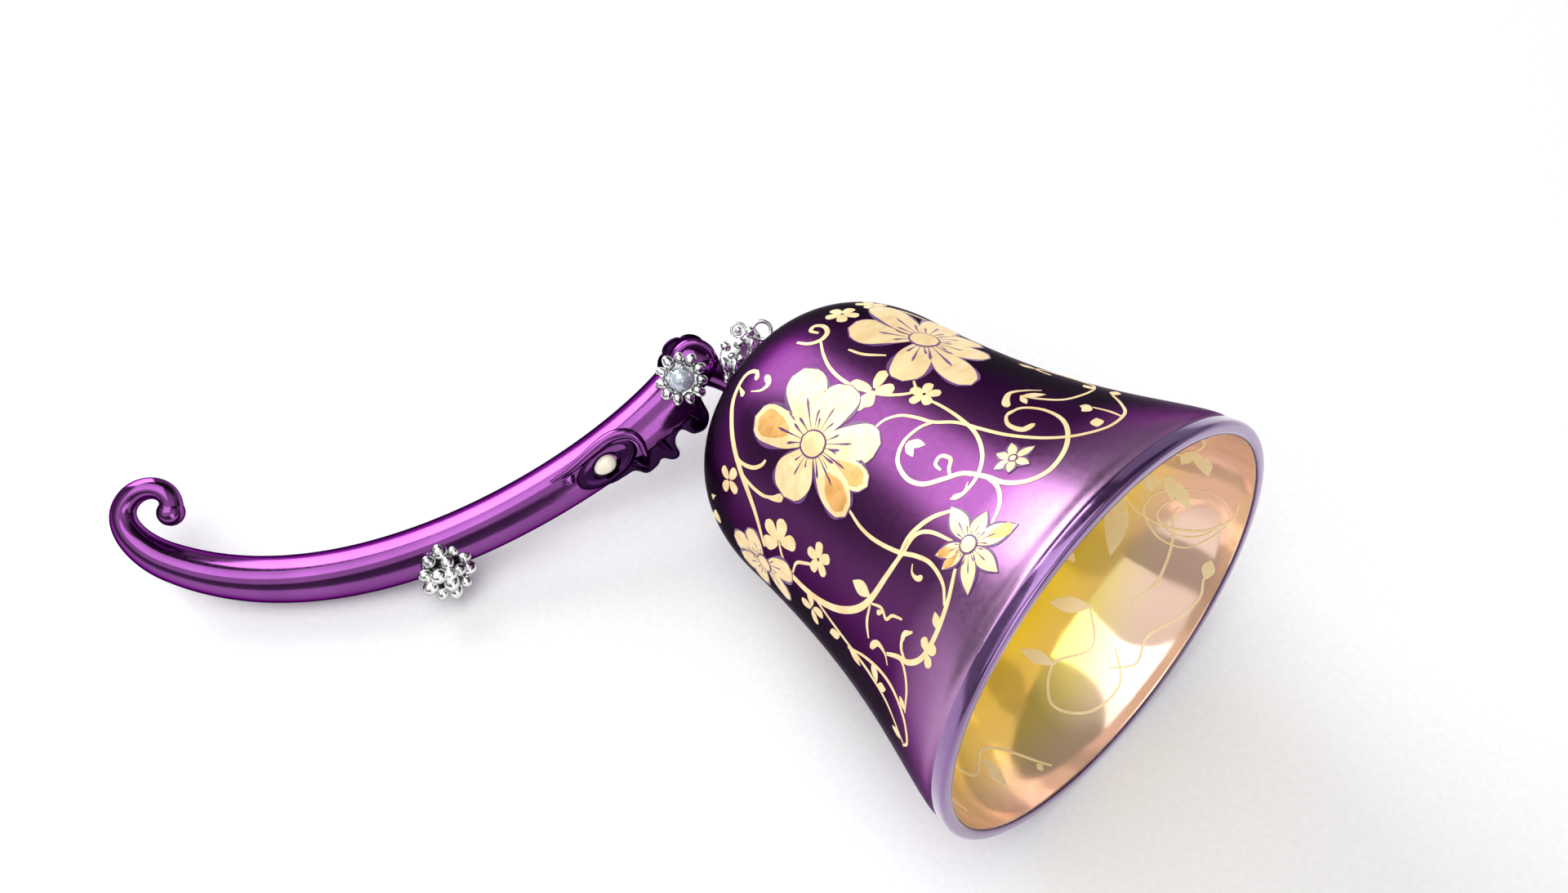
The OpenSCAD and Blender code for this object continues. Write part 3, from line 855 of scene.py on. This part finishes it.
def ridged(a, share):
    """Section of the stem: a soft lozenge with a ridge that faces the viewer."""
    lean = math.radians(24 - 20 * share)
    x, y = abs(math.cos(a - lean)), abs(math.sin(a - lean))
    return (x**RIDGE_POWER + y**RIDGE_POWER) ** (-1 / RIDGE_POWER)


def cast(name, shapes, material, replaced=(), sharp=50):
    """A plated casting in the handle's frame."""
    build(name, ON_HANDLE, shapes, [material], stands_for=replaced, sharp=sharp)


def silver_part(name, frame_at, shapes, silver, replaced=()):
    """A silver piece of jewellery."""
    build(name, frame_at, shapes, [silver], stands_for=replaced)


def make_stem(plating):
    spans = [(STEM, STEM_RADII, 110), (CURL, CURL_RADII, 28), (HOOK, HOOK_RADII, 28)]
    line, radii = [], []
    for points, radius, steps in spans:
        line += in_plane(curve(points, steps))[:-1]
        radii += [curve_at(radius, i / steps) for i in range(steps)]
    last = len(radii) - 1
    shape = tube(line, lambda s: radii[round(s * last)], 48, ridged)
    cast("swan_neck_stem", [shape], plating, ["handle_stem", "handle_curl"], sharp=60)


def make_tip(plating):
    """The ball that ends the curl, drawn out into the hook."""
    end = Vector((*HOOK[3], 0))
    ahead = (Vector(HOOK[3]) - Vector(HOOK[2])).normalized()
    ahead = Vector((ahead.x, ahead.y, 0))
    steps = 26
    line = [end + ahead * (TIP_BALL_R * (2 * i / steps - 1)) for i in range(steps + 1)]

    def radius(s):
        return TIP_BALL_R * math.sqrt(max(0.0004, 1 - (2 * s - 1) ** 2))

    cast("curl_tip", [tube(line, radius, 32)], plating, ["curl_ball"])


def make_knuckle(plating):
    """The scroll at the top of the handle: a rounded boss with a rolled rim towards the viewer."""
    at = Vector((*KNUCKLE_AT, 0))
    boss = bead(at, (KNUCKLE_R - 0.2, KNUCKLE_R, KNUCKLE_R - 0.8), rows=28, sides=56)
    rim = []
    for i in range(61):
        a = math.radians(-70 + 290 * i / 60)
        r = KNUCKLE_R - 1.15
        rim.append(at + polar(r, a, -2.3))
    roll = tube(rim, lambda s: 0.95 * math.sin(math.pi * (0.1 + 0.8 * s)) ** 0.5, 24)
    cast("knuckle_scroll", [boss, roll], plating, ["handle_knuckle"])


def make_neck(plating):
    """The neck with two turned rings."""
    line = in_plane(curve(NECK, 40))

    def radius(s):
        lower_ring = 0.5 * math.exp(-(((s - 0.3) / 0.06) ** 2))
        upper_ring = 0.35 * math.exp(-(((s - 0.5) / 0.05) ** 2))
        return curve_at(NECK_RADII, s) + lower_ring + upper_ring

    cast("turned_neck", [tube(line, radius, 36)], plating, ["handle_neck"])


def make_flange(shaded_plating):
    """The lobed plate behind the knuckle, each lobe hollowed like a shell."""
    centre = Vector((KNUCKLE_AT[0] + 0.9, KNUCKLE_AT[1] + 0.9, -1.6))
    lobes, sides = 7, 112
    section = (
        (0.0, 0.3), (0.6, 0.3), (0.85, 0.2), (0.95, 0),
        (1.0, 0.25), (1.0, 0.9), (0.9, 1.2), (0.0, 1.2),
    )
    rings = []
    for share, depth in section:
        ring = []
        for k in range(sides):
            a = 2 * math.pi * k / sides
            edge = 4.8 + 0.5 * abs(math.cos(lobes * a / 2)) ** 0.6
            r = max(edge * share, 0.05)
            ring.append(centre + polar(r, a, depth))
        rings.append(ring)
    # The flange takes the shaded copy of the plating: painted shade behind the knuckle and the
    # beads.
    cast("lobed_flange", [skin(rings[::-1])], shaded_plating, ["scalloped_flange"], sharp=35)


LEAF_EDGE = [
    (30, 12.6), (28, 10.4), (25.6, 9.2), (23.8, 8.3), (22.9, 6.3), (20.8, 5.6), (19.3, 5.6),
    (18.3, 3.9), (17, 3.5), (15.9, 5.2), (14.4, 5.9), (12.6, 5.5), (12, 3.2), (10.4, 2.4),
    (8.4, 3.2), (7.2, 5.2), (5.9, 8), (5.9, 11), (12, 12), (20, 13), (26, 14),
]


def leaf_rib(foot, tip, width, w):
    """A raised rib along the middle of a cast leaf."""
    line = in_plane([Vector(foot).lerp(Vector(tip), i / 12) for i in range(13)], w)
    return tube(line, lambda s: width * (0.5 + 0.5 * math.sin(math.pi * s)) * (1.05 - s), 14)


def make_leaves(shaded_plating):
    """The notched leaf casting under the root of the stem, as thick as the stem."""
    outline = smooth(LEAF_EDGE + LEAF_EDGE[:1], 5)[:-1]
    middle = sum(outline, Vector((0, 0))) / len(outline)
    rings = []
    for w, share in ((2.6, 0.9), (2.3, 0.97), (1.6, 1), (-1.6, 1), (-2.3, 0.97), (-2.6, 0.9)):
        rings.append(in_plane([middle + (p - middle) * share for p in outline], w))
    ribs = [
        leaf_rib((9.4, 8), (9.8, 2.9), 1.5, -2.3),
        leaf_rib((14.4, 8), (12.4, 5.6), 1.1, -2.5),
        leaf_rib((17, 9), (17.1, 3.9), 1.3, -2.4),
        leaf_rib((22.6, 10.5), (21.6, 6), 1.5, -2.4),
    ]
    # The leaf casting takes the shaded copy of the plating: painted shade under the root of the
    # stem.
    cast("leaf_casting", [skin(rings)] + ribs, shaded_plating, ["leaf_spurs"], sharp=40)


# Rings of the stone's seat from its edge to the stone: half-length, half-width and height
SEAT_SECTION = [
    (6.4, 3.1, -1.2), (6, 2.8, -0.1), (5.4, 2.4, 0.05), (4.4, 2, -0.3),
    (2.9, 1.9, -0.2), (2.5, 1.75, 0.05), (2.2, 1.55, -0.1), (2.1, 1.5, -1.2),
]


def make_relief(plating, shaded_plating, stone):
    """The carved scroll on the stem with the cream stone in its hollow."""
    arch = smooth([(36, 20.2, -3.6), (30, 17.8, -4.6), (24.5, 16.4, -4.9), (21, 15.2, -5),
                   (18.9, 13.2, -4.9), (18.7, 10.8, -4.4), (20.2, 8.4, -3.2)], 8)
    ridge = tube(arch, lambda s: 0.25 + 0.75 * math.sin(math.pi * (0.1 + 0.8 * s)), 16)
    hook = smooth([(32.4, 17.4, -4.9), (31.4, 16.6, -5.1), (30.2, 16.8, -4.9)], 6)
    nib = tube(hook, lambda s: 0.75 * math.sin(math.pi * (0.12 + 0.76 * s)), 14)
    cast("scroll_relief", [ridge, nib], plating)
    seat = ON_HANDLE @ Matrix.Translation(CABOCHON_AT) @ turned(CABOCHON_TURN, "Z") @ FACING
    sides = 56
    rings = []
    for rx, ry, depth in SEAT_SECTION:
        ring = []
        for k in range(sides):
            a = 2 * math.pi * k / sides
            ring.append(Vector((rx * math.cos(a), ry * math.sin(a), depth)))
        rings.append(ring)
    # The seat takes the shaded copy of the plating: painted shade in the hollow round the stone.
    build("stone_seat", seat, [skin(rings)], [shaded_plating],
          stands_for=["cabochon_bezel"], sharp=60)
    gem = bead((0, 0, -0.2), (2.1, 1.55, 1.1), rows=18, sides=40)
    build("cream_cabochon", seat, [gem], [stone], stands_for=["cabochon"])


# ---------------------------------------------------------------- the silver jewellery


def ring_of_beads(n, ring_r, size, z, first=0, uneven=0.08):
    """Cast beads round a ring, each a little different in size."""
    shapes = []
    for i in range(n):
        a = first + 360 * i / n
        grow = 1 + uneven * math.sin(2.4 * i + 1)
        centre = (ring_r * math.cos(math.radians(a)), ring_r * math.sin(math.radians(a)), z)
        shapes.append(bead(centre, [s * grow for s in size], a))
    return shapes


def scalloped_disc(r, t, lobes):
    """A thin plate with a wavy edge under the beads."""
    sides = lobes * 10
    rings = []
    for share, z in ((0.02, 0), (1, 0), (1.03, t / 2), (1, t), (0.6, t * 0.8), (0.02, t * 0.8)):
        ring = []
        for k in range(sides):
            a = 2 * math.pi * k / sides
            edge = r * share * (1 + 0.04 * math.cos(lobes * a))
            ring.append(polar(edge, a, z))
        rings.append(ring)
    return skin(rings)


def claws(n, r, z, reach):
    """Small prongs that lean in over a stone."""
    shapes = []
    for i in range(n):
        a = math.radians(360 * (i + 0.5) / n)
        out = Vector((math.cos(a), math.sin(a), 0))
        foot = out * r + Vector((0, 0, z))
        bend = out * r * 0.98 + Vector((0, 0, z + reach * 0.6))
        tip = out * r * 0.72 + Vector((0, 0, z + reach))
        along_rim = Vector((-out.y, out.x, 0))
        line = smooth([foot, bend, tip], 5)
        shapes.append(tube(line, lambda s: 0.36 - 0.16 * s, 10, side_on=along_rim))
    return shapes


def make_jewellery(silver, pearl, glass):
    """The bead flower with its pearl, and the bead cluster with its glass top."""
    bead_z = SETTING_T + 0.75
    plate = scalloped_disc(2.9, SETTING_T, 11)
    silver_part("flower_plate", AT_FLOWER, [plate], silver, ["flower_setting"])
    petals = ring_of_beads(11, 3.45, (1.2, 0.98, 1.0), bead_z, 8, 0.12)
    silver_part("flower_bead_ring", AT_FLOWER, petals, silver, ["flower_beads"])
    pearl_shape = bead((0, 0, SETTING_T + 1.3), (2, 2, 1.9), rows=22, sides=40)
    build("blue_pearl", AT_FLOWER, [pearl_shape], [pearl],
          stands_for=["flower_pearl"])
    silver_part("pearl_claws", AT_FLOWER, claws(6, 2.2, SETTING_T, 2.3), silver)

    plate = scalloped_disc(4.3, SETTING_T, 10)
    silver_part("cluster_plate", AT_CLUSTER, [plate], silver, ["cluster_setting"])
    outer = ring_of_beads(10, 3.75, (1.4, 1.25, 1.25), bead_z, 12, 0.1)
    inner = ring_of_beads(4, 1.75, (1.4, 1.3, 1.3), bead_z + 0.9, 40, 0.16)
    silver_part("cluster_bead_rings", AT_CLUSTER, outer + inner, silver, ["cluster_beads"])
    top = bead((0, 0, bead_z + 1.7), (1.2, 1.15, 1.15), rows=18, sides=32)
    build("cluster_glass", AT_CLUSTER, [top], [glass], stands_for=["cluster_stone"])


def wire_ring(centre, r, wire_r):
    """A ring of round wire that lies in the handle's plane."""
    shape = revolve([(p.x, p.y) for p in arc((r, 0), wire_r, 0, 330, 11)], 40)
    return [Vector(centre) + p for p in shape[0]], shape[1]


# Beads of the crown ornament: place in the handle's plane, half-length, half-width and turn
ORNAMENT_BEADS = [
    (-7.9, 5.8, 0.95, 0.9, 0), (-5.3, 6, 1.25, 1, 30), (-3.3, 7.8, 0.95, 0.8, 100),
    (-0.6, 6.2, 1.55, 0.8, -50), (-1.6, 4.6, 1.6, 0.85, -35), (-4.8, 3.4, 0.7, 0.65, 0),
    (-3.2, 4.4, 0.75, 0.6, 20), (1.1, 4.4, 0.8, 0.7, 0), (-3.8, 2.9, 0.6, 0.55, 0),
    (-6.4, 4.4, 1.2, 0.6, -30), (-6.9, 7.6, 0.7, 0.65, 0), (-2.6, 6, 0.7, 0.6, 40),
]
# The plate's edge in the handle's plane
ORNAMENT_EDGE = [
    (2, 3.6), (1, 6.4), (-2.6, 8.4), (-7, 8), (-9.2, 5.8), (-8.2, 3.4), (-4, 2.6),
]


def make_ornament(silver):
    """The tiara-like ornament between the neck and the crown."""
    outline = smooth(ORNAMENT_EDGE + ORNAMENT_EDGE[:1], 6)[:-1]
    middle = sum(outline, Vector((0, 0))) / len(outline)
    top = ORNAMENT_W - ORNAMENT_T
    chamfer = 0.3
    section = [(ORNAMENT_W, 0.86), (ORNAMENT_W - chamfer, 0.92), (top + chamfer, 0.92), (top, 0.8)]
    rings = [
        in_plane([middle + (p - middle) * share for p in outline], w) for w, share in section
    ]
    silver_part("ornament_plate", ON_HANDLE, [skin(rings)], silver, ["ornament_base"])
    beads = [
        bead((u, v, top - 0.5 * wide), (long, wide, wide), turn)
        for u, v, long, wide, turn in ORNAMENT_BEADS
    ]
    silver_part("ornament_bead_rows", ON_HANDLE, beads, silver, ["ornament_beads"])
    rings = [wire_ring((-9.2, 4.2, top), 1.6, 0.36), wire_ring((-6.9, 7.6, top), 1.2, 0.28)]
    silver_part("ornament_wire_rings", ON_HANDLE, rings, silver, ["ornament_rings"])


# ---------------------------------------------------------------- the studio


def make_floor():
    """A pale paper sweep: flat, with a slow rise far behind, and painted shade that darkens the
    paper away from the middle.
    """
    size, steps = 3.0, 24
    points, faces = [], []
    for i in range(steps + 1):
        for k in range(steps + 1):
            x, y = size * (2 * i / steps - 1), size * (2 * k / steps - 1)
            far = max(0.0, math.hypot(x, y) - 1.2)
            points.append((x, y, 0.35 * far * far))
    for i in range(steps):
        for k in range(steps):
            a = i * (steps + 1) + k
            faces.append((a, a + steps + 1, a + steps + 2, a + 1))
    mesh = bpy.data.meshes.new("sweep")
    mesh.from_pydata(points, [], faces)
    mesh.polygons.foreach_set("use_smooth", [True] * len(faces))
    paint = Paint("paper")
    paint.set(Roughness=0.9, Specular_IOR_Level=0.1)
    fibres = paint.noise(900, 3)
    paper = paint.ramp(fibres, [(0.3, (0.88, 0.88, 0.89)), (0.7, (0.92, 0.92, 0.93))])
    # Painted shade: the paper darkens from 0.3 m to 0.9 m out, as if the lamps' light fell off.
    painted_light_falloff = paint.ramp(paint.distance(), [(0.3, (1, 1, 1)), (0.9, (0.62, 0.62, 0.64))])
    paint.colour(paint.blended(1.0, paper, painted_light_falloff, "MULTIPLY"))
    mesh.materials.append(paint.material)
    sweep = bpy.data.objects.new("sweep", mesh)
    bpy.context.scene.collection.objects.link(sweep)


def soft_light(name, at, towards, width, depth, watts):
    """A rectangular lamp that looks at a place; all in metres."""
    lamp = bpy.data.lights.new(name, "AREA")
    lamp.shape = "RECTANGLE"
    lamp.size = width
    lamp.size_y = depth
    lamp.energy = watts
    light = bpy.data.objects.new(name, lamp)
    light.location = at
    light.rotation_mode = "QUATERNION"
    light.rotation_quaternion = (Vector(towards) - Vector(at)).to_track_quat("-Z", "Y")
    bpy.context.scene.collection.objects.link(light)


def make_world():
    """A dark room behind the bell that brightens towards the viewer's side."""
    world = bpy.data.worlds.new("studio")
    bpy.context.scene.world = world
    world.use_nodes = True
    nodes, links = world.node_tree.nodes, world.node_tree.links
    coord = nodes.new("ShaderNodeTexCoord")
    facing = nodes.new("ShaderNodeVectorMath")
    facing.operation = "DOT_PRODUCT"
    facing.inputs[1].default_value = (0.5, -0.5, 0)
    lifted = nodes.new("ShaderNodeMath")
    lifted.inputs[1].default_value = 0.5
    ramp = nodes.new("ShaderNodeValToRGB")
    greys = [(0.0, 0.02), (0.28, 0.05), (0.5, 0.6), (1.0, 1.0)]
    set_stops(ramp, [(position, (grey, grey, grey)) for position, grey in greys])
    links.new(coord.outputs["Generated"], facing.inputs[0])
    links.new(facing.outputs["Value"], lifted.inputs[0])
    links.new(lifted.outputs["Value"], ramp.inputs["Fac"])
    links.new(ramp.outputs["Color"], nodes["Background"].inputs["Color"])
    nodes["Background"].inputs["Strength"].default_value = 1.0


def make_camera():
    """The photograph's view: a 32 mm lens, from 48 degrees round and 60 degrees up."""
    azimuth, elevation = math.radians(CAMERA_AZIMUTH), math.radians(CAMERA_ELEVATION)
    roll = math.radians(CAMERA_ROLL)
    data = bpy.data.cameras.new("camera")
    data.lens = CAMERA_LENS
    data.sensor_width = 36
    data.clip_start = 0.005
    camera = bpy.data.objects.new("camera", data)
    camera.location = Vector(CAMERA_AT) * MM
    level = math.cos(elevation)
    back = Vector((math.sin(azimuth) * level, -math.cos(azimuth) * level, math.sin(elevation)))
    camera.rotation_mode = "QUATERNION"
    camera.rotation_quaternion = (-back).to_track_quat("-Z", "Y") @ Quaternion((0, 0, 1), roll)
    bpy.context.scene.collection.objects.link(camera)
    bpy.context.scene.camera = camera


def repaint(node, material):
    """Gives a CAD node that stays in view its finish."""
    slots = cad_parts[node].material_slots
    for slot in slots:
        slot.material = material


# ---------------------------------------------------------------- making it all

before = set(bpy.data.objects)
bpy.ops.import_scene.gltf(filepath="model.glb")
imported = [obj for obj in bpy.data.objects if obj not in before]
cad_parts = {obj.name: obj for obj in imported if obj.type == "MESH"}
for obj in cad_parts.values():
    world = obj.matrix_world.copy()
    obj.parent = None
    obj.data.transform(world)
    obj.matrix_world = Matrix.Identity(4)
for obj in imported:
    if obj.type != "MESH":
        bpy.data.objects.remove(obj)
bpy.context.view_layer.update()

make_world()
make_floor()
soft_light("left_softbox", (-0.72, 0.05, 0.34), (0, 0, 0.03), 0.5, 0.6, 6.0)
soft_light("front_fill", (0.75, -0.2, 0.3), (0.06, 0.03, 0.03), 0.35, 0.6, 1.6)
soft_light("overhead_softbox", (-0.12, -0.16, 0.7), (0.02, -0.02, 0), 0.7, 0.7, 3.1)
make_camera()

glaze = lustre_glaze()
gold = gilt("gilt", (0.88, 0.60, 0.27), (0.98, 0.80, 0.46))
orange = gilt("gilt_orange", (0.62, 0.30, 0.07), (0.90, 0.52, 0.18))
line_paint = speckled("line_glaze", (0.10, 0.03, 0.13), (0.17, 0.06, 0.22), (0.25, 0.4), 700,
                      0.01).material
inner_gold = gilt("inner_gilt", (1.0, 0.80, 0.42), (1.0, 0.90, 0.62))
# Near-black painted shade for the band where the lip meets the gilding.
painted_groove_shade = speckled("painted_groove_shade", (0.03, 0.008, 0.03), (0.06, 0.02, 0.07), (0.2, 0.4), 700,
                  0.01).material
plating = plated("plated_purple", (0.25, 0.072, 0.29), (0.12, 0.18))
# The same purple plating made several times darker: painted shade for the parts that sit behind,
# under or sunk in the handle.
shaded_plating = plated("plated_purple_painted_shade", (0.035, 0.009, 0.05), (0.12, 0.2))
silver = silver_metal()
pearl = speckled("pearl", (0.42, 0.50, 0.60), (0.72, 0.78, 0.86), (0.06, 0.14), 500, 0.01,
                 Metallic=0.35, Coat_Weight=1.0, Coat_Roughness=0.03).material
glass = speckled("glass_bead", (0.75, 0.78, 0.80), (0.92, 0.94, 0.95), (0.04, 0.1), 500, 0.01,
                 Metallic=0.8, Coat_Weight=1.0, Coat_Roughness=0.02).material
cream = speckled("cream_stone", (0.80, 0.72, 0.56), (0.93, 0.89, 0.78), (0.18, 0.3), 600, 0.02,
                 Coat_Weight=0.6, Coat_Roughness=0.08).material
steel = speckled("turned_steel", (0.45, 0.46, 0.48), (0.66, 0.67, 0.70), (0.22, 0.36), 900, 0.02,
                 (1, 8, 8), Metallic=1.0).material
brass = speckled("worn_brass", (0.52, 0.36, 0.12), (0.85, 0.64, 0.28), (0.16, 0.34), 500, 0.02,
                 Metallic=1.0).material
felt = felt_cloth()

make_shell([glaze, lip_glaze(), painted_groove_shade, mirror_gold()])
make_gilding(gold, orange, line_paint, inner_gold)
make_stem(plating)
make_tip(plating)
make_knuckle(plating)
make_neck(plating)
make_flange(shaded_plating)
make_leaves(shaded_plating)
make_relief(plating, shaded_plating, cream)
make_jewellery(silver, pearl, glass)
make_ornament(silver)

repaint("crown_collar", plating)
for name in ("crown_gasket", "felt_washer"):
    repaint(name, felt)
for name in ("tie_bolt", "steel_washer", "hanger_nut", "yoke_pin"):
    repaint(name, steel)
for name in ("swivel_yoke", "clapper_rod", "clapper_ball", "clapper_cap"):
    repaint(name, brass)

view_settings = bpy.context.scene.view_settings
view_settings.view_transform = "Standard"
